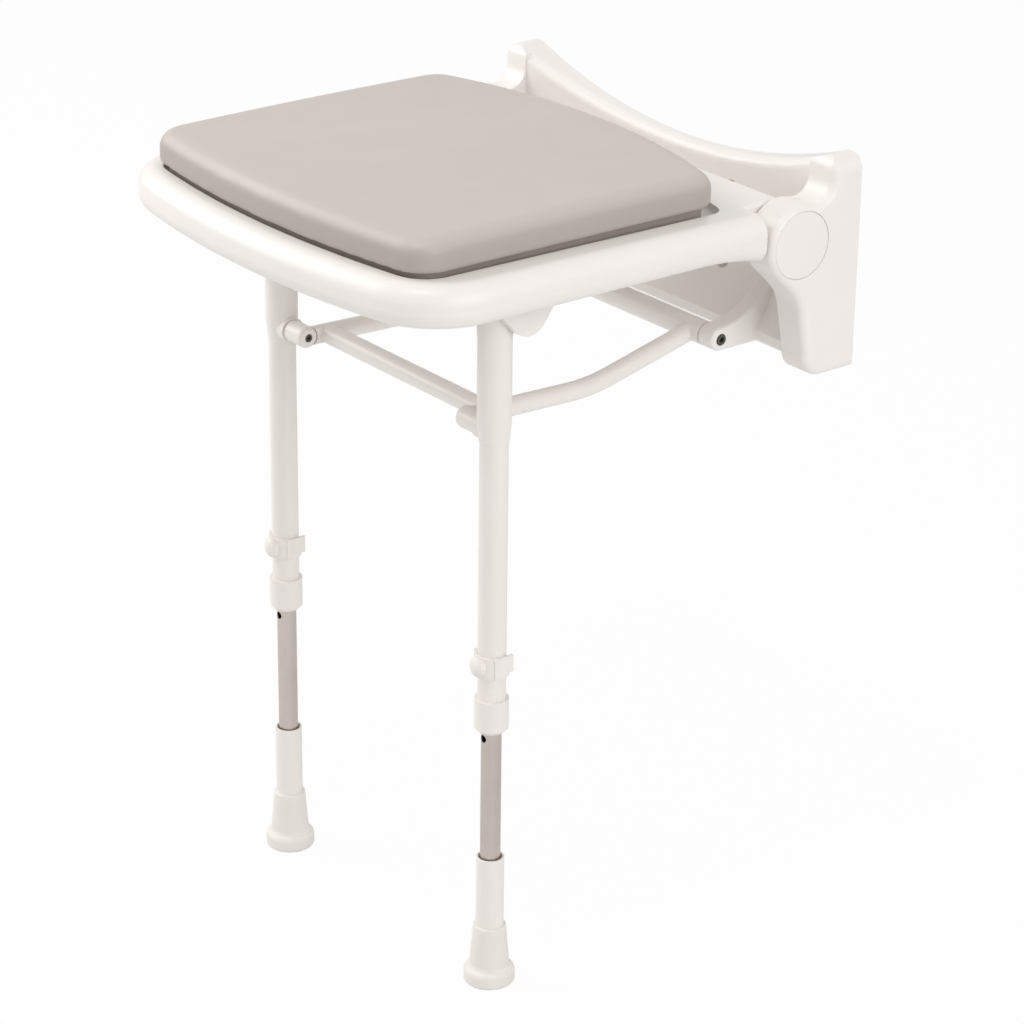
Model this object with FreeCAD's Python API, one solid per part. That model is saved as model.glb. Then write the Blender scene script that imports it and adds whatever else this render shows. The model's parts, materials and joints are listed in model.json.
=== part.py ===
import FreeCAD
import Part
import math
import os

V = FreeCAD.Vector
os.makedirs("parts", exist_ok=True)

# Millimetres. The wall is the plane y = 0, the seat stands out towards -Y,
# +Z is up and the origin is the middle of the wall screws.
# The right side is +X.

# wall bracket
bracketWidth = 407.0
bracketHeight = 172.0
bracketUnder = 20.0
cheekThick = 28.5
hingeOut = 58.0
hingeUp = 25.0
bossRadius = 31.0
hornDepth = 28.0
topDip = 34.5
plateDepth = 14.0
flareOut = 42.0
screwSpanX = 150.0
screwSpanZ = 56.0
wallHoleDia = 7.0

# folding linkage, a parallelogram seen from the side
legOut = 300.0
legFall = 22.0
linkBack = 20.0
linkDrop = 91.0
legInset = 64.5
footDrop = 557.0

# seat
rimHeight = 31.0
deckOverHinge = 29.0
deckRise = 3.0
frontReach = 431.5
frontBow = 4.09
seatCorner = 66.0
rimRound = 15.0
underRound = 13.5
recessDepth = 6.0
skinThick = 4.5

# pad
padInset = 28.5
padFront = 411.5
padBack = 91.5
padFrontBow = 5.14
padBackBow = 3.21
padFrontRound = 27.0
padBackRound = 24.0
padLift = 6.0
padThick = 24.5
padCrown = 3.0
padEdge = 13.0
fixingInset = 55.0
fixingWell = 4.6

# legs
tubeDia = 22.0
tubeWall = 1.5
innerDia = 16.0
innerWall = 1.5
sleeveDia = 26.0
holeDia = 6.2
holePitch = 21.0
holesEachWay = 3
clipHeight = 17.0
clipCentre = -278.5

# brace
armDia = 15.0
frontTubeDia = 16.0
crossDia = 19.0
eyeDia = 17.6
armInset = 98.0
armPressed = 8.0
lugThick = 18.0
lugInset = 65.5
collarThick = 2.0
spigotDia = 10.0

# pins
hingePinDia = 12.0
bushLength = 24.0
legPinDia = 8.0
boltDia = 5.0
headDia = 8.6
smallHeadDia = 6.6

# clearances
running = 0.05
slide = 0.1
openPivot = 0.3
fixedGap = 0.0

halfWidth = bracketWidth / 2
cheekInner = halfWidth - cheekThick
hingeY = -hingeOut
hingeZ = hingeUp
lugY = hingeY - linkBack
lugZ = hingeZ - linkDrop
braceY = -legOut
braceZ = lugZ - legFall
earY = braceY + linkBack
earZ = braceZ + linkDrop
legX = halfWidth - legInset
armX = halfWidth - armInset
lugOuter = halfWidth - lugInset
padHalf = halfWidth - padInset
seatHalf = halfWidth - 0.5
seatRearHalf = cheekInner - 1.6
deckZ = hingeZ + deckOverHinge
rimZ = deckZ - rimHeight
floorZ = -footDrop
recessZ = deckZ - recessDepth
padZ = deckZ + padLift
lowZ = lugZ - bracketUnder
topZ = lowZ + bracketHeight
saddleZ = hingeZ + bossRadius - 2.0
tubeRadius = tubeDia / 2
innerRadius = innerDia / 2
sleeveRadius = sleeveDia / 2
eyeIn = armX - armPressed / 2 - 0.2
eyeOut = legX - sleeveRadius - collarThick - 0.5


def box(x0, x1, y0, y1, z0, z1):
    return Part.makeBox(x1 - x0, y1 - y0, z1 - z0, V(x0, y0, z0))


def rod(x0, x1, y, z, r):
    return Part.makeCylinder(r, x1 - x0, V(x0, y, z), V(1, 0, 0))


def post(x, y, z0, z1, r):
    return Part.makeCylinder(r, z1 - z0, V(x, y, z0), V(0, 0, 1))


def spike(x, z, y0, y1, r):
    return Part.makeCylinder(r, y1 - y0, V(x, y0, z), V(0, 1, 0))


def pipe(x, y, z0, z1, r, bore):
    return post(x, y, z0, z1, r).cut(post(x, y, z0 - 1, z1 + 1, bore))


def outline(steps):
    # each step is a corner, or the middle and end of an arc
    edges = []
    here = steps[0]
    for step in steps[1:] + [steps[0]]:
        if isinstance(step[0], tuple):
            middle, end = step
            edges.append(Part.Arc(V(*here), V(*middle), V(*end)).toShape())
        else:
            end = step
            if (V(*here) - V(*end)).Length > 1e-6:
                edges.append(Part.makeLine(V(*here), V(*end)))
        here = end
    return Part.Face(Part.Wire(edges))


def lift(point, axis):
    if axis == "x":
        return (0.0, point[0], point[1])
    if axis == "y":
        return (point[0], 0.0, point[1])
    return (point[0], point[1], 0.0)


def prism(steps, axis, low, high):
    # a drawn outline pushed along the named axis
    spots = []
    for step in steps:
        if isinstance(step[0], tuple):
            spots.append((lift(step[0], axis), lift(step[1], axis)))
        else:
            spots.append(lift(step, axis))
    way = {"x": V(1, 0, 0), "y": V(0, 1, 0), "z": V(0, 0, 1)}[axis]
    face = outline(spots)
    face.translate(way * low)
    return face.extrude(way * (high - low))


def mirrored(shape):
    return shape.mirror(V(0, 0, 0), V(1, 0, 0))


def fillet(shape, radius, wanted):
    edges = [e for e in shape.Edges if wanted(e)]
    return shape.makeFillet(radius, edges)


def middle(edge):
    return edge.valueAt((edge.FirstParameter + edge.LastParameter) / 2)


def save(name, shape):
    shape = shape.removeSplitter() if shape.ShapeType == "Solid" else shape
    shape.exportStep(os.path.join("parts", name + ".step"))


def both(name, shape):
    # drawn on the right, mirrored to the left
    save(name + "_r", shape)
    save(name + "_l", mirrored(shape))


# wall bracket
def topArc(drop):
    reach = halfWidth - 15.5
    return (-reach, topZ - drop), ((0.0, topZ - topDip - drop), (reach, topZ - drop))


def plateFront(x):
    bend = cheekInner ** 2 / (2 * (hornDepth - 1.0 - plateDepth))
    return -plateDepth - x ** 2 / (2 * bend)


def bracketWindow():
    round_ = 12.0
    start, arc = topArc(0.0)
    steps = [(-halfWidth, lowZ), (-halfWidth, topZ - round_)]
    steps.append(((-halfWidth + 0.293 * round_, topZ - 0.293 * round_), (-halfWidth + round_, topZ)))
    steps.append(start)
    steps.append(arc)
    steps.append((halfWidth - round_, topZ))
    steps.append(((halfWidth - 0.293 * round_, topZ - 0.293 * round_), (halfWidth, topZ - round_)))
    steps.append((halfWidth, lowZ))
    return prism(steps, "y", -120.0, 2.0)


def cheek():
    tip = 9.0
    hornFoot = topZ - 18.0
    steps = [(0.0, lowZ), (-32.0, lowZ), ((-43.5, lowZ + 5.0), (-48.5, lowZ + 18.0))]
    steps += [(-54.5, -34.0), ((-57.5, -22.5), (-64.0, -12.5))]
    steps += [(hingeY - 0.72 * bossRadius, hingeZ - 0.69 * bossRadius), (hingeY, hingeZ)]
    steps += [(hingeY + 6.0, saddleZ + 1.2), (hingeY + 14.0, saddleZ)]
    mid = saddleZ + (hornFoot - saddleZ) * 2 / 7
    steps += [((-hornDepth - 5.0, mid), (-hornDepth, hornFoot)), (-hornDepth, topZ - tip)]
    steps += [((-hornDepth + 0.293 * tip, topZ - 0.293 * tip), (-hornDepth + tip, topZ)), (0.0, topZ)]
    body = prism(steps, "x", cheekInner, halfWidth)
    boss = rod(cheekInner, halfWidth, hingeY, hingeZ, bossRadius)
    body = body.fuse(boss).removeSplitter()

    def outer(edge):
        box_ = edge.BoundBox
        return box_.XMin > halfWidth - 0.01 and box_.YMin < -0.01 and middle(edge).y < -0.5

    return fillet(body, 6.5, outer)


def plate():
    flat = plateFront(cheekInner)
    steps = [(-cheekInner, 0.0), (-cheekInner, flat), ((0.0, -plateDepth), (cheekInner, flat))]
    steps += [(cheekInner, 0.0)]
    upright = prism(steps, "z", lugZ - 12.0, topZ).common(bracketWindow()).removeSplitter()

    def topFront(edge):
        at = middle(edge)
        return at.z > topZ - topDip - 1.0 and edge.BoundBox.XLength > halfWidth and at.y < -plateDepth / 2

    upright = fillet(upright, 8.0, topFront)
    steps = [(0.0, lugZ - 14.0), (3.0 - flareOut, lugZ - 10.0), (-flareOut, lugZ - 7.0), (-flareOut, lugZ)]
    steps += [((-9.0 - plateDepth, lugZ + 38.0), (-plateDepth, hingeZ - 11.0)), (0.0, hingeZ - 11.0)]
    flare = prism(steps, "x", -cheekInner, cheekInner)
    return upright.fuse(flare)


def lug():
    tip = 9.5
    steps = [(lugY + 58.0, lugZ - tip), (lugY, lugZ - tip), ((lugY - tip, lugZ), (lugY, lugZ + tip))]
    steps += [((lugY + 22.0, lugZ + 15.0), (lugY + 40.0, lugZ + 26.0))]
    steps += [(lugY + 56.0, lugZ + 42.0), (lugY + 68.0, lugZ + 48.0)]
    body = prism(steps, "x", lugOuter - lugThick, lugOuter)

    def rims(edge):
        at = middle(edge)
        onFace = abs(at.x - lugOuter) < 0.01 or abs(at.x - lugOuter + lugThick) < 0.01
        return onFace and at.y < lugY + 53.0 and at.z > lugZ - 7.0

    return fillet(body, 3.0, rims)


def plateHollows():
    steps = [(2.0, lugZ - 9.5), (5.5 - flareOut, lugZ - 5.5), (5.5 - flareOut, lugZ)]
    steps += [((-4.5 - plateDepth, lugZ + 38.0), (4.5 - plateDepth, hingeZ - 11.0))]
    steps += [(4.5 - plateDepth, topZ), (2.0, topZ)]
    hollow = prism(steps, "x", -cheekInner, cheekInner)
    start, arc = topArc(5.0)
    window = prism([(-halfWidth, lowZ), (-halfWidth, topZ - 40.0), start, arc,
                    (halfWidth, topZ - 40.0), (halfWidth, lowZ)], "y", -120.0, 4.0)
    hollow = hollow.common(window)
    cells = []
    rib = 4.0
    marks = [0.0, screwSpanX / 4, screwSpanX / 2, lugOuter - lugThick - 2.0, lugOuter + 2.0, cheekInner]
    for left, right in zip(marks, marks[1:]):
        cell = box(left + rib / 2, right - rib / 2, -60.0, 3.0, lowZ - 4.0, topZ + 4.0)
        cells += [cell, mirrored(cell)]
    web = box(-halfWidth, halfWidth, -60.0, 4.0, -2.0, 2.0)
    tool = hollow.common(Part.makeCompound(cells)).cut(web)
    for x, z in wallHoles():
        tool = tool.cut(spike(x, z, -60.0, 4.0, 9.0))
    return tool


def wallHoles():
    spots = []
    for x in (-screwSpanX / 2, screwSpanX / 2):
        for z in (-screwSpanZ / 2, screwSpanZ / 2):
            spots.append((x, z))
    return spots


def wallBracket():
    body = plate()
    for piece in (cheek(), lug()):
        body = body.fuse(piece).fuse(mirrored(piece))
    body = body.common(bracketWindow()).removeSplitter()

    def valley(edge):
        at = middle(edge)
        side = abs(abs(at.x) - cheekInner) < 0.01 and edge.BoundBox.XLength < 0.01
        inward = -flareOut - 1.0 < at.y < -20.0
        return side and inward and edge.Length > 20.0 and edge.BoundBox.ZMax < lugZ + 36.0

    body = fillet(body.Solids[0], 8.0, valley)
    body = body.cut(plateHollows())
    for x, z in wallHoles():
        body = body.cut(spike(x, z, -60.0, 5.0, wallHoleDia / 2))
        body = body.cut(spike(x, z, -60.0, -8.0, 7.5))
    low = box(cheekInner + 5.0, halfWidth - 5.0, -40.0, 2.0, lowZ + 8.0, -12.0)
    high = box(cheekInner + 5.0, halfWidth - 5.0, 8.0 - hornDepth, 2.0, topZ - 26.0, topZ - 8.0)
    sides = [low, high, rod(cheekInner - 1, halfWidth, hingeY, hingeZ, hingePinDia / 2)]
    sides.append(rod(halfWidth - 8.0, halfWidth, hingeY, hingeZ, 12.0))
    sides.append(rod(halfWidth - 3.0, halfWidth + 1, hingeY, hingeZ, 26.8))
    sides.append(rod(lugOuter - lugThick - 1, lugOuter + 1, lugY, lugZ, boltDia / 2))
    sides.append(rod(lugOuter - 3.0, lugOuter + 1, lugY, lugZ, headDia / 2 + 0.5))
    for tool in sides:
        body = body.cut(tool)
        body = body.cut(mirrored(tool))
    return body.Solids[0]


# seat hinge
def hingePin():
    shank = rod(seatRearHalf - bushLength + 0.6, halfWidth - 8.0, hingeY, hingeZ, hingePinDia / 2)
    head = rod(halfWidth - 8.0, halfWidth - 3.5, hingeY, hingeZ, 10.0)
    body = shank.fuse(head)
    return body.cut(rod(halfWidth - 6.0, halfWidth, hingeY, hingeZ, 4.0))


def hingeBush():
    inside = seatRearHalf - bushLength
    body = rod(inside, seatRearHalf, hingeY, hingeZ, hingePinDia / 2 + 2.0)
    body = body.fuse(rod(seatRearHalf, seatRearHalf + 1.2, hingeY, hingeZ, 13.0))
    bore = rod(inside - 1, cheekInner, hingeY, hingeZ, hingePinDia / 2 + running)
    return body.cut(bore)


def hingeCap():
    disc = rod(halfWidth - 3.0, halfWidth - 0.5, hingeY, hingeZ, 26.5)
    dome = Part.makeSphere(300.0, V(halfWidth + 0.6 - 300.0, hingeY, hingeZ))
    crown = rod(halfWidth - 1.0, halfWidth + 2.0, hingeY, hingeZ, 26.5).common(dome)
    ring = rod(halfWidth - 6.5, halfWidth - 3.0, hingeY, hingeZ, 11.9)
    ring = ring.cut(rod(halfWidth - 8.0, halfWidth - 2.0, hingeY, hingeZ, 10.3))
    return disc.fuse([crown, ring]).removeSplitter()


# seat
def seatPlan(inset, round_, backY, low, high):
    # rounded front, straight sides, cut square at the back
    half = seatHalf - inset
    bow = seatHalf * frontBow
    front = -frontReach + inset
    centreY = front + bow
    cornerX = half - round_
    cornerY = centreY - math.sqrt((bow - round_) ** 2 - cornerX ** 2)
    ratio = bow / (bow - round_)
    touchX = cornerX * ratio
    touchY = centreY - (centreY - cornerY) * ratio
    bisect = V(half - cornerX + touchX - cornerX, touchY - cornerY, 0).normalize() * round_
    midX = cornerX + bisect.x
    midY = cornerY + bisect.y
    steps = [(half, backY), (half, cornerY), ((midX, midY), (touchX, touchY))]
    steps.append(((0.0, front), (-touchX, touchY)))
    steps.append(((-midX, midY), (-half, cornerY)))
    steps.append((-half, backY))
    return prism(steps, "z", low, high)


def seatBody():
    back = hingeY - 34.0
    plan = seatPlan(0.0, seatCorner, back, -30.0, 90.0)
    front = -frontReach - 20.0
    high = deckZ + deckRise * (back - front) / (back + frontReach)
    steps = [(front, high), (front, rimZ), (back - 58.0, rimZ)]
    steps += [((back - 27.0, rimZ - 2.0), (back, rimZ - 7.0)), (back, deckZ)]
    slab = plan.common(prism(steps, "x", -halfWidth - 50.0, halfWidth + 50.0))

    def along(edge):
        return middle(edge).y < back - 1.0 and edge.BoundBox.ZLength < 8.0

    slab = fillet(slab, rimRound, lambda edge: along(edge) and middle(edge).z > deckZ - 0.01)
    slab = fillet(slab, underRound, lambda edge: along(edge) and middle(edge).z < rimZ + 0.01)

    def tail(edge):
        at = middle(edge)
        return abs(at.y - back) < 0.01 and abs(at.x) > seatRearHalf

    return fillet(slab, 2.5, tail)


def rearBeam():
    steps = [(-110.0, deckZ), (hingeY - 2.0, deckZ)]
    steps.append(((hingeY + 6.5, deckZ - 3.5), (hingeY + 10.0, deckZ - 12.0)))
    steps.append((hingeY + 13.6, hingeZ + 3.3))
    steps.append(((hingeY + 9.9, hingeZ - 9.9), (hingeY - 2.0, hingeZ - 13.9)))
    steps.append((-92.0, rimZ - 7.0))
    steps.append((-110.0, rimZ - 3.0))
    beam = prism(steps, "x", -seatRearHalf, seatRearHalf)

    def shoulder(edge):
        at = middle(edge)
        return abs(abs(at.x) - seatRearHalf) < 0.01 and at.z > hingeZ + 9.0 and at.y > -105.0

    return fillet(beam, 3.0, shoulder)


def softPlan(half, front, back, frontRound, backRound, low, high):
    # bowed front and back, straight sides, four round corners
    steps = [(half, -(front + back) / 2)]
    ends = [(half * padFrontBow, frontRound, -front, 1), (half * padBackBow, backRound, -back, -1)]
    for bow, round_, edge, way in ends:
        centreY = edge + way * bow
        cornerX = half - round_
        cornerY = centreY - way * math.sqrt((bow - round_) ** 2 - cornerX ** 2)
        ratio = bow / (bow - round_)
        touchX = cornerX * ratio
        touchY = centreY + (cornerY - centreY) * ratio
        bisect = V(round_ + touchX - cornerX, touchY - cornerY, 0).normalize() * round_
        midX = cornerX + bisect.x
        midY = cornerY + bisect.y
        steps.append((way * half, cornerY))
        steps.append(((way * midX, midY), (way * touchX, touchY)))
        steps.append(((0.0, edge), (-way * touchX, touchY)))
        steps.append(((-way * midX, midY), (-way * half, cornerY)))
    return prism(steps, "z", low, high)


def padPlan(inset, low, high):
    front = padFront - inset
    back = padBack + inset
    return softPlan(padHalf - inset, front, back, padFrontRound - inset, padBackRound - inset, low, high)


def recess():
    # a little smaller than the pad in front, longer behind it
    body = softPlan(padHalf - 1.5, padFront - 2.0, padBack - 7.0, padFrontRound, 15.0, recessZ, deckZ + 15.0)
    return fillet(body, recessDepth - 1.5, lambda edge: edge.BoundBox.ZMax < recessZ + 0.01)


def ear(low, high):
    steps = [(earY - 19.5, earZ - 5.5), ((earY - 5.0, earZ - 14.0), (earY + 9.5, earZ - 7.0))]
    steps += [(earY + 17.3, earZ + 4.3), (earY + 27.0, rimZ + 2.0), (earY + 27.0, recessZ - 2.0)]
    steps += [(earY - 42.0, recessZ - 2.0), (earY - 42.0, rimZ + 2.0), (earY - 29.6, earZ + 5.5)]
    return prism(steps, "x", low, high)


def seatShell():
    body = seatBody().fuse(rearBeam())
    skin = recessZ - skinThick
    back = hingeY - 54.0
    inner = legX - 1.0
    hollow = seatPlan(22.0, seatCorner - 22.0, back, 0.0, skin)
    hollow = hollow.fuse(box(-inner, inner, back - 4.0, hingeY - 8.0, 0.0, skin))
    ribs = []
    for part in (-0.44, -0.15, 0.15, 0.44):
        x = part * seatHalf
        ribs.append(box(x - 1.75, x + 1.75, -frontReach, hingeY, rimZ + 5.0, deckZ))
    for y in (-0.8 * frontReach, -0.53 * frontReach, -0.39 * frontReach, back):
        ribs.append(box(-seatHalf, seatHalf, y - 1.75, y + 1.75, rimZ + 5.0, deckZ))
    body = body.cut(hollow.cut(Part.makeCompound(ribs)))
    body = body.cut(recess())
    inner = ear(legX - sleeveRadius - 7.0, legX - sleeveRadius - 1.0)
    outer = ear(legX + sleeveRadius + 1.0, legX + sleeveRadius + 8.0)
    for tab in (inner, outer):
        body = body.fuse([tab, mirrored(tab)])
    tools = [rod(legX - 30.0, legX + sleeveRadius + 5.0, earY, earZ, legPinDia / 2)]
    tools.append(rod(seatRearHalf - bushLength, cheekInner, hingeY, hingeZ, hingePinDia / 2 + 2.0))
    for tool in tools:
        body = body.cut(tool)
        body = body.cut(mirrored(tool))
    for x, y in padFixings():
        body = body.cut(post(x, y, 0.0, deckZ, 2.6))
        body = body.cut(post(x, y, 0.0, skin, fixingWell))
    return body.Solids[0]


def padFixings():
    side = padHalf - fixingInset
    return [(x, y) for x in (-side, side) for y in (-padFront + 25.5, -padBack - 48.5)]


def padBoard():
    body = padPlan(6.5, recessZ, padZ)
    for x, y in padFixings():
        body = body.cut(post(x, y, recessZ - 1, recessZ + 7.0, 1.75))
    return body


def padScrews():
    skin = recessZ - skinThick
    group = []
    for x, y in padFixings():
        shank = post(x, y, skin, recessZ + 7.0, 1.75)
        head = Part.makeCone(3.4, 4.0, 2.4, V(x, y, skin - 2.4), V(0, 0, 1))
        slot = box(x - 3.0, x + 3.0, y - 0.5, y + 0.5, skin - 3.0, skin - 1.4)
        other = box(x - 0.5, x + 0.5, y - 3.0, y + 3.0, skin - 3.0, skin - 1.4)
        group.append(shank.fuse(head).cut(slot).cut(other))
    return Part.makeCompound(group)


def seatPad():
    body = padPlan(0.0, padZ, padZ + padThick + 8.0)
    middleY = -(padFront + padBack) / 2
    big = (1.23 * padHalf) ** 2 / (2 * padCrown)
    ball = Part.makeSphere(big, V(0.0, middleY, padZ + padThick + padCrown - big))
    body = body.common(ball)

    def upper(edge):
        return middle(edge).z > padZ + padThick - 4.0 and edge.BoundBox.ZLength < 6.0

    body = fillet(body, padEdge, upper)

    def lower(edge):
        return edge.BoundBox.ZMax < padZ + 0.01

    return fillet(body, 1.0, lower)


# legs
def legHead():
    base = -12.0
    cap = post(legX, braceY, base, 15.0, sleeveRadius + 0.4)
    knuckle = rod(legX - sleeveRadius, legX + sleeveRadius, earY, earZ, 8.0)
    web = box(legX - sleeveRadius, legX + sleeveRadius, braceY, earY, earZ - 7.0, earZ + 8.0)
    spigot = post(legX, braceY, base - 30.0, base, tubeRadius - tubeWall - fixedGap)
    body = cap.fuse([knuckle, web, spigot]).removeSplitter()
    body = body.cut(post(legX, braceY, base - 31.0, base + 6.0, 5.5))
    return body.cut(rod(legX - 20.0, legX + 20.0, earY, earZ, legPinDia / 2 + running))


def legPin():
    start = legX - sleeveRadius - 7.0
    shank = rod(start, legX + sleeveRadius + 5.0, earY, earZ, legPinDia / 2)
    return shank.fuse(rod(start - 2.5, start, earY, earZ, 6.5))


def legTube():
    body = pipe(legX, braceY, legTubeEnd(), -12.0, tubeRadius, tubeRadius - tubeWall)
    body = body.cut(spike(legX, clipCentre, braceY - 20.0, braceY, holeDia / 2))
    return body.cut(rod(legX - sleeveRadius, legX - 3.0, braceY, braceZ, spigotDia / 2))


def legTubeEnd():
    return clipCentre - clipHeight / 2 - 21.0


def sleeveForm():
    # full width at the top, drawn in to the tube beside the brace bolt
    full = braceZ + 6.0
    taper = Part.makeCone(tubeRadius + 0.5, sleeveRadius, 14.0, V(legX, braceY, full - 14.0), V(0, 0, 1))
    return post(legX, braceY, full, -12.0, sleeveRadius).fuse(taper).removeSplitter()


def legSleeve():
    body = sleeveForm().cut(post(legX, braceY, braceZ - 20.0, 0.0, tubeRadius))
    return body.cut(rod(legX - sleeveRadius - 1.0, legX, braceY, braceZ, spigotDia / 2))


def legBoss():
    # a collar on the sleeve with a threaded spigot into the tube
    face = legX - sleeveRadius - collarThick
    body = rod(face, legX, braceY, braceZ, 10.2).cut(sleeveForm())
    body = body.cut(post(legX, braceY, braceZ - 30.0, braceZ + 30.0, tubeRadius))
    body = body.fuse(rod(face, legX - 4.0, braceY, braceZ, spigotDia / 2))
    return body.cut(rod(face - 1.0, legX - 5.0, braceY, braceZ, boltDia / 2))


def braceBolt():
    # the head is sunk in the end of the eye
    body = rod(eyeIn + 2.7, legX - 5.0, braceY, braceZ, boltDia / 2)
    body = body.fuse(rod(eyeIn + 0.3, eyeIn + 2.7, braceY, braceZ, smallHeadDia / 2))
    return body.cut(hexagon(eyeIn - 1.0, eyeIn + 1.9, braceY, braceZ, 1.9))


def hexagon(x0, x1, y, z, r):
    spots = []
    for i in range(6):
        turn = math.radians(60 * i)
        spots.append((y + r * math.cos(turn), z + r * math.sin(turn)))
    return prism(spots, "x", x0, x1)


def legBush():
    top = legTubeEnd()
    low = top - 28.2
    collar = post(legX, braceY, low, top, tubeRadius + 2.3)
    collar = collar.makeChamfer(3.4, [e for e in collar.Edges if e.BoundBox.ZMax < low + 0.01])
    spigot = post(legX, braceY, top, top + 20.0, tubeRadius - tubeWall)
    body = collar.fuse(spigot)
    return body.cut(post(legX, braceY, low - 1, top + 21.0, innerRadius + slide))


def clip():
    low = clipCentre - clipHeight / 2
    high = clipCentre + clipHeight / 2
    inside = tubeRadius + 0.1
    ring = post(legX, braceY, low, high, tubeRadius + 2.6)
    flankOut = tubeRadius + 2.3
    flank = box(legX - flankOut, legX + flankOut, braceY - 7.0, braceY + 5.0, low, high)
    wings = box(legX - flankOut, legX + flankOut, braceY, braceY + 10.5, low + 3.2, high)
    body = ring.fuse([flank, wings])
    body = body.cut(post(legX, braceY, low - 1, high + 1, inside))
    body = body.cut(box(legX - inside, legX + inside, braceY, braceY + 20.0, low - 1, high + 1))
    nose = spike(legX, clipCentre, braceY - tubeRadius - 9.0, braceY - inside - 0.5, 8.0)
    dome = Part.makeSphere(11.5, V(legX, braceY - tubeRadius + 3.9, clipCentre))
    body = body.fuse(nose.common(dome))
    pin = spike(legX, clipCentre, braceY - inside - 2.0, braceY - 4.5, holeDia / 2 - 0.25)
    return body.fuse(pin).removeSplitter()


def footTop():
    return floorZ + 111.0


def innerTube():
    top = clipCentre + holesEachWay * holePitch + 24.0
    body = pipe(legX, braceY, floorZ + 9.0, top, innerRadius, innerRadius - innerWall)
    for step in range(-holesEachWay, holesEachWay + 1):
        height = clipCentre + step * holePitch
        body = body.cut(spike(legX, height, braceY - 12.0, braceY, holeDia / 2))
    return body


def guidePlug():
    top = clipCentre + holesEachWay * holePitch + 24.0
    body = post(legX, braceY, top, top + 3.0, tubeRadius - tubeWall - slide)
    return body.fuse(post(legX, braceY, top - 10.0, top, innerRadius - innerWall))


def footSleeve():
    body = pipe(legX, braceY, floorZ + 9.0, footTop(), tubeRadius, innerRadius)
    return body.cut(post(legX, braceY, footTop() - 6.0, footTop() + 1.0, innerRadius + 1.6))


def ferrule():
    top = 50.6
    steps = [(0.0, 0.0), (17.5, 0.0), ((19.6, 1.0), (20.3, 3.4)), (20.3, 8.6)]
    steps += [((19.4, 11.8), (17.2, 13.6)), ((16.0, 15.6), (15.6, 18.4)), (13.0, top - 0.8)]
    steps += [(12.4, top), (tubeRadius, top), (tubeRadius, 9.0), (0.0, 9.0)]
    face = outline([tuple([lift(p, "y") for p in s]) if isinstance(s[0], tuple) else lift(s, "y") for s in steps])
    body = face.revolve(V(0, 0, 0), V(0, 0, 1), 360)
    tread = []
    for i in range(14):
        turn = math.radians(360.0 * i / 14)
        tread.append(Part.makeCylinder(2.0, 8.0, V(15.5 * math.cos(turn), 15.5 * math.sin(turn), -0.9),
                                       V(math.cos(turn), math.sin(turn), 0)))
    tread.append(post(0, 0, -1.0, 2.0, 9.0).cut(post(0, 0, -2.0, 3.0, 6.0)))
    body = body.cut(Part.makeCompound(tread))
    body = body.cut(post(0, 0, 6.0, 7.6, 10.0))
    body.translate(V(legX, braceY, floorZ))
    return body


def ferruleDisc():
    return post(legX, braceY, floorZ + 6.0, floorZ + 7.6, 10.0)


# brace
def armPath(radius):
    # straight from the leg, one bend, then up to the lug
    bendY = braceY + 118.0
    bendZ = braceZ - 3.4
    start = V(armX, braceY, braceZ)
    corner = V(armX, bendY, bendZ)
    end = V(armX, lugY, lugZ)
    back = (start - corner).normalize()
    on = (end - corner).normalize()
    half = back.getAngle(on) / 2
    cut = radius / math.tan(half)
    first = corner + back * cut
    last = corner + on * cut
    centre = corner + (back + on).normalize() * (radius / math.sin(half))
    mid = centre + (corner - centre).normalize() * radius
    edges = [Part.makeLine(start, first), Part.Arc(first, mid, last).toShape(), Part.makeLine(last, end)]
    return Part.Wire(edges), (first - start).normalize()


def armSolid(r):
    path, way = armPath(150.0)
    ring = Part.Wire(Part.makeCircle(r, V(armX, braceY, braceZ), way))
    return path.makePipeShell([ring], True, False)


def armForm():
    # pressed flat where it meets the eye
    body = armSolid(armDia / 2)
    for way in (-1, 1):
        flat = armX + way * armPressed / 2
        side = armX + way * (armDia / 2 + 0.5)
        steps = [(flat, braceY - 20.0), (flat, braceY + 14.0), (side, braceY + 34.0)]
        steps += [(side + way * 20.0, braceY + 34.0), (side + way * 20.0, braceY - 20.0)]
        body = body.cut(prism(steps, "z", braceZ - 30.0, braceZ + 30.0))
    return body


def braceArm():
    bore = armSolid(armDia / 2 - 1.5).cut(box(armX - 20.0, armX + 20.0, braceY - 20.0, braceY + 32.0,
                                              braceZ - 30.0, braceZ + 30.0))
    body = armForm().cut(bore)
    body = body.cut(rod(armX - 20.0, armX + 20.0, braceY, braceZ, eyeDia / 2))
    body = body.cut(rod(armX - 30.0, armX + 30.0, lugY, lugZ, crossDia / 2))
    pieces = [s for s in body.Solids if s.BoundBox.YLength > 50.0]
    return pieces[0]


def braceEye():
    body = rod(eyeIn, eyeOut, braceY, braceZ, eyeDia / 2)
    body = fillet(body, 3.0, lambda edge: edge.BoundBox.XMax < eyeIn + 0.01)
    body = fillet(body, 0.8, lambda edge: edge.BoundBox.XMin > eyeOut - 0.01)
    body = body.cut(rod(eyeIn - 1, eyeIn + 3.1, braceY, braceZ, smallHeadDia / 2 + 0.2))
    return body.cut(rod(eyeIn - 1, eyeOut + 1, braceY, braceZ, boltDia / 2 + openPivot))


def rearTube():
    end = lugOuter - lugThick - 1.6
    body = rod(-end, end, lugY, lugZ, crossDia / 2)
    return body.cut(rod(-end - 1, end + 1, lugY, lugZ, crossDia / 2 - 1.5))


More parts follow.
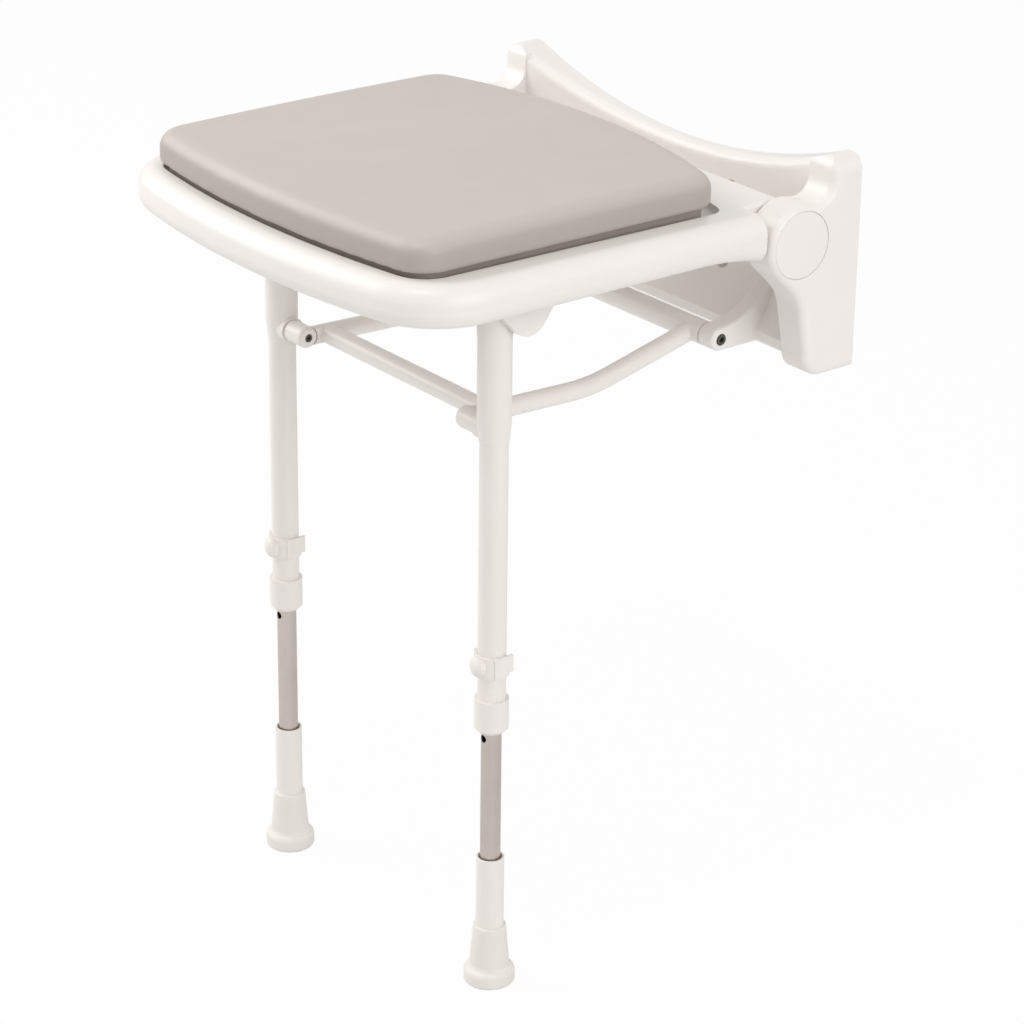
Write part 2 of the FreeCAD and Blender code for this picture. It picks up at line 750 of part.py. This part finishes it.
def frontTube():
    y = braceY + 20.0
    z = braceZ - 0.6
    end = armX - 1.0
    radius = frontTubeDia / 2
    body = rod(-end, end, y, z, radius).cut(rod(-end - 1, end + 1, y, z, radius - 1.5))
    arm = armForm()
    body = body.cut(arm).cut(mirrored(arm))
    pieces = sorted(body.Solids, key=lambda s: s.Volume)
    return pieces[-1]


def braceBush():
    face = lugOuter - lugThick
    body = rod(face - 22.0, face - 1.6, lugY, lugZ, crossDia / 2 - 1.5)
    body = body.fuse(rod(face - 1.6, face - 0.2, lugY, lugZ, crossDia / 2))
    return body.cut(rod(face - 23.0, face, lugY, lugZ, boltDia / 2 + running))


def lugScrew():
    seat = lugOuter - 3.0
    body = rod(lugOuter - lugThick - 20.0, seat, lugY, lugZ, boltDia / 2)
    body = body.fuse(rod(seat, seat + 3.6, lugY, lugZ, headDia / 2))
    return body.cut(hexagon(seat + 1.4, seat + 5.0, lugY, lugZ, 2.3))


save("wall_bracket", wallBracket())
save("seat_shell", seatShell())
save("pad_board", padBoard())
save("pad_screws", padScrews())
save("seat_pad", seatPad())
both("hinge_pin", hingePin())
both("hinge_bush", hingeBush())
both("hinge_cap", hingeCap())
both("leg_pin", legPin())
both("leg_head", legHead())
both("leg_sleeve", legSleeve())
both("leg_tube", legTube())
both("leg_boss", legBoss())
both("brace_bolt", braceBolt())
both("leg_bush", legBush())
both("height_clip", clip())
both("inner_tube", innerTube())
both("guide_plug", guidePlug())
both("foot_sleeve", footSleeve())
both("ferrule", ferrule())
both("ferrule_disc", ferruleDisc())
both("brace_arm", braceArm())
both("brace_eye", braceEye())
save("brace_rear_tube", rearTube())
save("brace_front_tube", frontTube())
both("brace_bush", braceBush())
both("lug_screw", lugScrew())
print("done", len(os.listdir("parts")))
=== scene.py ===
import json
import math

import bmesh
import bpy
from mathutils import Matrix, Vector


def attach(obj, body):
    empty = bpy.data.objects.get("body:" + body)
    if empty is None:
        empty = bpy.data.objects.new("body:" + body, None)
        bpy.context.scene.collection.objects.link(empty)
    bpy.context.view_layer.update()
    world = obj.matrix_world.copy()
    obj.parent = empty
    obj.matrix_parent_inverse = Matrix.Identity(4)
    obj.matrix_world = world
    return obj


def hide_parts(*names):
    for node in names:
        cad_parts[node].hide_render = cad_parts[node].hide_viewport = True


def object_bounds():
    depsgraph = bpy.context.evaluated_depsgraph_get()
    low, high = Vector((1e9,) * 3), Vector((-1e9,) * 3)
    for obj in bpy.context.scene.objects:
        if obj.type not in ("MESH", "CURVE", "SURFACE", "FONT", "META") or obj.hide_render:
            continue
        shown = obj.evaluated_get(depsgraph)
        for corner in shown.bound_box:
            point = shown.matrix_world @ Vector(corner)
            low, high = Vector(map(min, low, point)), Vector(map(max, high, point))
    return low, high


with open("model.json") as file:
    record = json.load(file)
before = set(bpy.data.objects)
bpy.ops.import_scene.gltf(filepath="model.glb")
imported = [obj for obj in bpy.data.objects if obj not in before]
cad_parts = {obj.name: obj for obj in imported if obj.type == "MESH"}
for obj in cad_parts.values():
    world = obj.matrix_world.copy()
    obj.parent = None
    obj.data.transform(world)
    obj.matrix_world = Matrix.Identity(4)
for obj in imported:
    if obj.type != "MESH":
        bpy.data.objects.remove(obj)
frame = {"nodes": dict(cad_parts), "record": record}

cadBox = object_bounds()
nodes = frame["nodes"]
scene = bpy.context.scene
print("wall seat frame loaded:", len(nodes), "pieces")


# shader helpers
def addNode(tree, kind, place, **values):
    node = tree.nodes.new(kind)
    node.location = place
    for name, value in values.items():
        setattr(node, name, value)
    return node


def newGroup(name, inputs, outputs):
    group = bpy.data.node_groups.new(name, "ShaderNodeTree")
    for label, kind, value in inputs:
        socket = group.interface.new_socket(label, in_out="INPUT", socket_type="NodeSocket" + kind)
        if value is not None:
            socket.default_value = value
    for label, kind in outputs:
        group.interface.new_socket(label, in_out="OUTPUT", socket_type="NodeSocket" + kind)
    start = addNode(group, "NodeGroupInput", (-900, 0))
    end = addNode(group, "NodeGroupOutput", (700, 0))
    return group, start, end


# how the noises in the shared groups are set, low and high being where most of their values lie
noise = {
    "low": 0.3, "high": 0.7, "cloudDetail": 3.0, "cloudRoughness": 0.55,
    "grainDetail": 2.0, "rippleDetail": 1.0, "lineDetail": 3.0, "lineStretch": (1.0, 1.0, 0.02),
}


# slow drift of tone, as on a moulding that isn't quite even
def buildToneDrift():
    group, start, end = newGroup(
        "tone drift",
        [("Coordinates", "Vector", None), ("Size", "Float", 14.0), ("Amount", "Float", 0.03),
         ("Colour", "Color", (0.8, 0.8, 0.8, 1.0)), ("Second Colour", "Color", (0.75, 0.74, 0.72, 1.0))],
        [("Colour", "Color")])
    clouds = addNode(group, "ShaderNodeTexNoise", (-600, 120))
    clouds.inputs["Detail"].default_value = noise["cloudDetail"]
    clouds.inputs["Roughness"].default_value = noise["cloudRoughness"]
    spread = addNode(group, "ShaderNodeMapRange", (-350, 120))
    spread.inputs["From Min"].default_value = noise["low"]
    spread.inputs["From Max"].default_value = noise["high"]
    share = addNode(group, "ShaderNodeMath", (-120, 120), operation="MULTIPLY")
    blend = addNode(group, "ShaderNodeMix", (200, 0), data_type="RGBA")
    link = group.links.new
    link(start.outputs["Coordinates"], clouds.inputs["Vector"])
    link(start.outputs["Size"], clouds.inputs["Scale"])
    link(clouds.outputs["Fac"], spread.inputs["Value"])
    link(spread.outputs["Result"], share.inputs[0])
    link(start.outputs["Amount"], share.inputs[1])
    link(share.outputs["Value"], blend.inputs["Factor"])
    link(start.outputs["Colour"], blend.inputs[6])
    link(start.outputs["Second Colour"], blend.inputs[7])
    link(blend.outputs[2], end.inputs["Colour"])
    return group


# fine skin of a moulding or a paint coat, as height and gloss
def buildSurfaceSkin():
    group, start, end = newGroup(
        "surface skin",
        [("Coordinates", "Vector", None), ("Grain Size", "Float", 900.0), ("Ripple Size", "Float", 60.0),
         ("Gloss Low", "Float", 0.3), ("Gloss High", "Float", 0.45)],
        [("Height", "Float"), ("Roughness", "Float")])
    grain = addNode(group, "ShaderNodeTexNoise", (-600, 250))
    grain.inputs["Detail"].default_value = noise["grainDetail"]
    ripple = addNode(group, "ShaderNodeTexNoise", (-600, -50))
    ripple.inputs["Detail"].default_value = noise["rippleDetail"]
    gloss = addNode(group, "ShaderNodeMapRange", (-250, -150))
    gloss.inputs["From Min"].default_value = noise["low"]
    gloss.inputs["From Max"].default_value = noise["high"]
    link = group.links.new
    link(start.outputs["Coordinates"], grain.inputs["Vector"])
    link(start.outputs["Coordinates"], ripple.inputs["Vector"])
    link(start.outputs["Grain Size"], grain.inputs["Scale"])
    link(start.outputs["Ripple Size"], ripple.inputs["Scale"])
    link(ripple.outputs["Fac"], gloss.inputs["Value"])
    link(start.outputs["Gloss Low"], gloss.inputs["To Min"])
    link(start.outputs["Gloss High"], gloss.inputs["To Max"])
    link(grain.outputs["Fac"], end.inputs["Height"])
    link(gloss.outputs["Result"], end.inputs["Roughness"])
    return group


# long scratches drawn along a tube
def buildDrawnLines():
    group, start, end = newGroup(
        "drawn lines",
        [("Coordinates", "Vector", None), ("Fineness", "Float", 700.0), ("Gloss Low", "Float", 0.25),
         ("Gloss High", "Float", 0.45)],
        [("Height", "Float"), ("Roughness", "Float")])
    stretch = addNode(group, "ShaderNodeVectorMath", (-650, 100), operation="MULTIPLY")
    stretch.inputs[1].default_value = noise["lineStretch"]
    lines = addNode(group, "ShaderNodeTexNoise", (-400, 100))
    lines.inputs["Detail"].default_value = noise["lineDetail"]
    gloss = addNode(group, "ShaderNodeMapRange", (-120, -80))
    gloss.inputs["From Min"].default_value = noise["low"]
    gloss.inputs["From Max"].default_value = noise["high"]
    link = group.links.new
    link(start.outputs["Coordinates"], stretch.inputs[0])
    link(stretch.outputs["Vector"], lines.inputs["Vector"])
    link(start.outputs["Fineness"], lines.inputs["Scale"])
    link(lines.outputs["Fac"], gloss.inputs["Value"])
    link(start.outputs["Gloss Low"], gloss.inputs["To Min"])
    link(start.outputs["Gloss High"], gloss.inputs["To Max"])
    link(lines.outputs["Fac"], end.inputs["Height"])
    link(gloss.outputs["Result"], end.inputs["Roughness"])
    return group


toneDrift = buildToneDrift()
surfaceSkin = buildSurfaceSkin()
drawnLines = buildDrawnLines()


def placeGroup(tree, group, place, **values):
    node = addNode(tree, "ShaderNodeGroup", place, node_tree=group)
    for name, value in values.items():
        label = "".join(" " + c if c.isupper() else c for c in name).title()
        node.inputs[label].default_value = value
    return node


def newMaterial(name):
    material = bpy.data.materials.new(name)
    material.use_nodes = True
    tree = material.node_tree
    tree.nodes.clear()
    output = addNode(tree, "ShaderNodeOutputMaterial", (700, 0))
    shader = addNode(tree, "ShaderNodeBsdfPrincipled", (400, 0))
    tree.links.new(shader.outputs["BSDF"], output.inputs["Surface"])
    coordinates = addNode(tree, "ShaderNodeTexCoord", (-700, 0))
    return material, tree, shader, coordinates.outputs["Object"]


# tone, gloss and bump from the shared groups, group being the one that gives height and gloss
def surfaceFinish(name, look, group, **sizes):
    material, tree, shader, where = newMaterial(name)
    drift = placeGroup(tree, toneDrift, (-350, 200), size=look["driftSize"], amount=look["drift"],
                       colour=look["colour"], secondColour=look["shade"])
    glossLow, glossHigh = look["gloss"]
    skin = placeGroup(tree, group, (-350, -120), glossLow=glossLow, glossHigh=glossHigh, **sizes)
    bump = addNode(tree, "ShaderNodeBump", (100, -200))
    bump.inputs["Strength"].default_value = look["bump"]
    bump.inputs["Distance"].default_value = look["depth"]
    link = tree.links.new
    link(where, drift.inputs["Coordinates"])
    link(where, skin.inputs["Coordinates"])
    link(drift.outputs["Colour"], shader.inputs["Base Color"])
    link(skin.outputs["Roughness"], shader.inputs["Roughness"])
    link(skin.outputs["Height"], bump.inputs["Height"])
    link(bump.outputs["Normal"], shader.inputs["Normal"])
    return material, shader


plasticIor = 1.46


def mouldedFinish(name, look):
    material, shader = surfaceFinish(name, look, surfaceSkin, grainSize=look["grainSize"],
                                     rippleSize=look["rippleSize"])
    shader.inputs["IOR"].default_value = plasticIor
    return material


def metalFinish(name, look):
    material, shader = surfaceFinish(name, look, drawnLines, fineness=look["fineness"])
    shader.inputs["Metallic"].default_value = 1.0
    return material


# the pad's skin has painted shade: its colour is darkened down its sides and left full on top, as light
# from above falls
def padPaintedShadeFinish(name, look):
    material = mouldedFinish(name, look)
    tree = material.node_tree
    shader = next(node for node in tree.nodes if node.type == "BSDF_PRINCIPLED")
    base = shader.inputs["Base Color"].links[0].from_socket
    coordinates = next(node for node in tree.nodes if node.type == "TEX_COORD")
    # painted shade mask: the upward part of the surface normal sets how far the colour is darkened
    split = addNode(tree, "ShaderNodeSeparateXYZ", (-350, 450))
    sideShadeRamp = addNode(tree, "ShaderNodeMapRange", (-120, 450), interpolation_type="SMOOTHSTEP")
    sideShadeRamp.inputs["From Min"].default_value = look["sideTurn"]
    sideShadeRamp.inputs["From Max"].default_value = look["topTurn"]
    sideShadeRamp.inputs["To Min"].default_value = look["paintedSideShade"]
    # painted shade: the base colour is scaled down where the surface turns to the side
    paintedShadeColour = addNode(tree, "ShaderNodeVectorMath", (120, 350), operation="SCALE")
    tree.links.new(coordinates.outputs["Normal"], split.inputs[0])
    tree.links.new(split.outputs["Z"], sideShadeRamp.inputs["Value"])
    tree.links.new(base, paintedShadeColour.inputs[0])
    tree.links.new(sideShadeRamp.outputs["Result"], paintedShadeColour.inputs["Scale"])
    tree.links.new(paintedShadeColour.outputs["Vector"], shader.inputs["Base Color"])
    return material


whitePlasticLook = {
    "colour": (0.87, 0.838, 0.812, 1), "shade": (0.835, 0.80, 0.77, 1), "driftSize": 9.0, "drift": 0.35,
    "grainSize": 700.0, "rippleSize": 18.0, "gloss": (0.30, 0.34), "bump": 0.01, "depth": 0.00005,
}
whitePaintLook = {
    "colour": (0.86, 0.823, 0.79, 1), "shade": (0.825, 0.785, 0.75, 1), "driftSize": 12.0, "drift": 0.3,
    "grainSize": 700.0, "rippleSize": 18.0, "gloss": (0.29, 0.33), "bump": 0.01, "depth": 0.00005,
}
fittingLook = {
    "colour": (0.855, 0.82, 0.79, 1), "shade": (0.82, 0.78, 0.745, 1), "driftSize": 20.0, "drift": 0.3,
    "grainSize": 1800.0, "rippleSize": 90.0, "gloss": (0.36, 0.5), "bump": 0.15, "depth": 0.0003,
}
rubberLook = {
    "colour": (0.83, 0.795, 0.765, 1), "shade": (0.77, 0.73, 0.695, 1), "driftSize": 40.0, "drift": 0.5,
    "grainSize": 1500.0, "rippleSize": 120.0, "gloss": (0.5, 0.68), "bump": 0.25, "depth": 0.0004,
}
# the pad's look also holds painted shade: how far its sides are darkened, and the normal heights between
# which that darkening fades out towards the top
padLook = {
    "colour": (0.57, 0.514, 0.479, 1), "shade": (0.54, 0.485, 0.449, 1), "driftSize": 7.0, "drift": 0.45,
    "paintedSideShade": 0.78, "sideTurn": 0.15, "topTurn": 0.9,
    "grainSize": 900.0, "rippleSize": 30.0, "gloss": (0.38, 0.48), "bump": 0.10, "depth": 0.0004,
}
# painted shade: the pad board is coloured dark brown grey to stand in for the shade in the narrow gap
# under the pad
boardGapShadeLook = {
    "colour": (0.36, 0.315, 0.285, 1), "shade": (0.29, 0.25, 0.225, 1), "driftSize": 20.0, "drift": 0.5,
    "grainSize": 900.0, "rippleSize": 60.0, "gloss": (0.5, 0.7), "bump": 0.2, "depth": 0.0004,
}
bareTubeLook = {
    "colour": (0.64, 0.58, 0.54, 1), "shade": (0.54, 0.48, 0.44, 1), "driftSize": 25.0, "drift": 0.5,
    "fineness": 900.0, "gloss": (0.26, 0.42), "bump": 0.12, "depth": 0.0002,
}
steelLook = {
    "colour": (0.6, 0.59, 0.58, 1), "shade": (0.48, 0.47, 0.46, 1), "driftSize": 60.0, "drift": 0.5,
    "fineness": 1200.0, "gloss": (0.25, 0.4), "bump": 0.1, "depth": 0.0002,
}
darkScrewLook = {
    "colour": (0.16, 0.15, 0.14, 1), "shade": (0.09, 0.085, 0.08, 1), "driftSize": 120.0, "drift": 0.6,
    "fineness": 1500.0, "gloss": (0.3, 0.5), "bump": 0.12, "depth": 0.0002,
}

finishes = {
    "white_plastic": mouldedFinish("white moulded plastic", whitePlasticLook),
    "white_paint": mouldedFinish("white tube paint", whitePaintLook),
    "white_fitting": mouldedFinish("white tube fittings", fittingLook),
    "white_rubber": mouldedFinish("pale foot rubber", rubberLook),
    "pad_skin": padPaintedShadeFinish("pad skin", padLook),
    "board_plastic": mouldedFinish("pad board", boardGapShadeLook),
    "bare_tube": metalFinish("bare drawn tube", bareTubeLook),
    "plain_steel": metalFinish("turned steel", steelLook),
    "dark_screw": metalFinish("dark screws", darkScrewLook),
}
print("finishes made:", len(finishes))

# each carried over piece takes the finish of its slot
slotOf = {row["node"]: row["material_slot"] for row in frame["record"]["subparts"]}
for name, piece in nodes.items():
    piece.data.materials.clear()
    piece.data.materials.append(finishes[slotOf[name]])
print("finishes set on the carried over pieces")


# the pad, a skinned foam block with a low crown
padShape = {"weld": 0.00001, "voxel": 0.0022, "smoothing": 0.5, "smoothSteps": 6}


def buildPad():
    piece = nodes["seat_pad"].copy()
    piece.data = nodes["seat_pad"].data.copy()
    piece.name = "pad_cushion"
    piece.parent = None
    scene.collection.objects.link(piece)
    mesh = bmesh.new()
    mesh.from_mesh(piece.data)
    bmesh.ops.remove_doubles(mesh, verts=mesh.verts, dist=padShape["weld"])
    mesh.to_mesh(piece.data)
    mesh.free()
    remesh = piece.modifiers.new("even faces", "REMESH")
    remesh.mode = "VOXEL"
    remesh.voxel_size = padShape["voxel"]
    smooth = piece.modifiers.new("soften", "SMOOTH")
    smooth.factor = padShape["smoothing"]
    smooth.iterations = padShape["smoothSteps"]
    baked = bpy.data.meshes.new_from_object(piece.evaluated_get(bpy.context.evaluated_depsgraph_get()))
    piece.modifiers.clear()
    piece.data = baked
    for face in piece.data.polygons:
        face.use_smooth = True
    piece.data.materials.clear()
    piece.data.materials.append(finishes["pad_skin"])
    return piece


pad = buildPad()
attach(pad, "seat")
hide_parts("seat_pad")
print("pad made:", len(pad.data.polygons), "faces")

# floor, world and lamps
floorHeight = cadBox[0][2]
studio = {
    "floorSize": 40.0, "floorTone": 0.8, "floorGlow": 0.95,
    "worldLight": 0.62, "worldTint": (1.0, 0.99, 0.98, 1),
    "lampTint": (1.0, 0.985, 0.97), "aim": (0.0, -0.25, 0.0),
}
lamps = {
    "top lamp": {"place": (0.4, -1.2, 2.5), "width": 0.5, "power": 11.0},
    "left lamp": {"place": (-2.4, -1.8, 1.5), "width": 2.4, "power": 56.0},
    "right lamp": {"place": (2.6, -0.2, 1.0), "width": 2.0, "power": 26.0},
}


def buildFloor():
    mesh = bpy.data.meshes.new("floor")
    sheet = bmesh.new()
    bmesh.ops.create_grid(sheet, x_segments=1, y_segments=1, size=studio["floorSize"] / 2)
    bmesh.ops.translate(sheet, verts=sheet.verts, vec=(0, 0, floorHeight))
    sheet.to_mesh(mesh)
    sheet.free()
    floor = bpy.data.objects.new("floor", mesh)
    scene.collection.objects.link(floor)
    material = bpy.data.materials.new("pale floor")
    material.use_nodes = True
    tree = material.node_tree
    tree.nodes.clear()
    output = addNode(tree, "ShaderNodeOutputMaterial", (600, 0))
    matt = addNode(tree, "ShaderNodeBsdfDiffuse", (0, 100))
    tone = studio["floorTone"]
    matt.inputs["Color"].default_value = (tone, tone, tone, 1)
    glow = addNode(tree, "ShaderNodeEmission", (0, -100))
    path = addNode(tree, "ShaderNodeLightPath", (-300, 300))
    share = addNode(tree, "ShaderNodeMath", (0, 300), operation="MULTIPLY")
    share.inputs[1].default_value = studio["floorGlow"]
    mix = addNode(tree, "ShaderNodeMixShader", (300, 0))
    tree.links.new(path.outputs["Is Camera Ray"], share.inputs[0])
    tree.links.new(share.outputs["Value"], mix.inputs["Fac"])
    tree.links.new(matt.outputs["BSDF"], mix.inputs[1])
    tree.links.new(glow.outputs["Emission"], mix.inputs[2])
    tree.links.new(mix.outputs["Shader"], output.inputs["Surface"])
    mesh.materials.append(material)


def buildWorld():
    world = bpy.data.worlds.new("studio")
    scene.world = world
    world.use_nodes = True
    tree = world.node_tree
    tree.nodes.clear()
    output = addNode(tree, "ShaderNodeOutputWorld", (600, 0))
    light = addNode(tree, "ShaderNodeBackground", (200, 100))
    light.inputs["Color"].default_value = studio["worldTint"]
    light.inputs["Strength"].default_value = studio["worldLight"]
    seen = addNode(tree, "ShaderNodeBackground", (200, -100))
    seen.inputs["Strength"].default_value = 1.0
    path = addNode(tree, "ShaderNodeLightPath", (-300, 300))
    either = addNode(tree, "ShaderNodeMath", (0, 300), operation="MAXIMUM")
    mix = addNode(tree, "ShaderNodeMixShader", (400, 0))
    tree.links.new(path.outputs["Is Camera Ray"], either.inputs[0])
    tree.links.new(path.outputs["Is Glossy Ray"], either.inputs[1])
    tree.links.new(either.outputs["Value"], mix.inputs["Fac"])
    tree.links.new(light.outputs["Background"], mix.inputs[1])
    tree.links.new(seen.outputs["Background"], mix.inputs[2])
    tree.links.new(mix.outputs["Shader"], output.inputs["Surface"])


def addLamp(name, place, width, power):
    lamp = bpy.data.lights.new(name, "AREA")
    lamp.shape = "SQUARE"
    lamp.size = width
    lamp.energy = power
    lamp.color = studio["lampTint"]
    holder = bpy.data.objects.new(name, lamp)
    holder.location = place
    way = Vector(studio["aim"]) - Vector(place)
    holder.rotation_euler = way.to_track_quat("-Z", "Y").to_euler()
    scene.collection.objects.link(holder)


buildFloor()
buildWorld()
for name, lamp in lamps.items():
    addLamp(name, **lamp)
print("studio made:", len(lamps), "lamps")

# camera, at the place and turn of the photograph
view = {
    "place": (2.0058, -1.7448, 0.8669), "around": 51.925, "down": 23.380, "roll": 0.676, "lens": 121.01,
    "sensor": 36.0, "far": 100.0,
}


def buildCamera():
    lens = bpy.data.cameras.new("camera")
    lens.lens = view["lens"]
    lens.sensor_width = view["sensor"]
    lens.clip_end = view["far"]
    camera = bpy.data.objects.new("camera", lens)
    turn = Matrix.Rotation(math.radians(view["around"]), 4, "Z")
    tilt = Matrix.Rotation(math.radians(90.0 - view["down"]), 4, "X")
    roll = Matrix.Rotation(math.radians(view["roll"]), 4, "Z")
    camera.matrix_world = Matrix.Translation(view["place"]) @ turn @ tilt @ roll
    scene.collection.objects.link(camera)
    scene.camera = camera


buildCamera()
scene.view_settings.view_transform = "Standard"
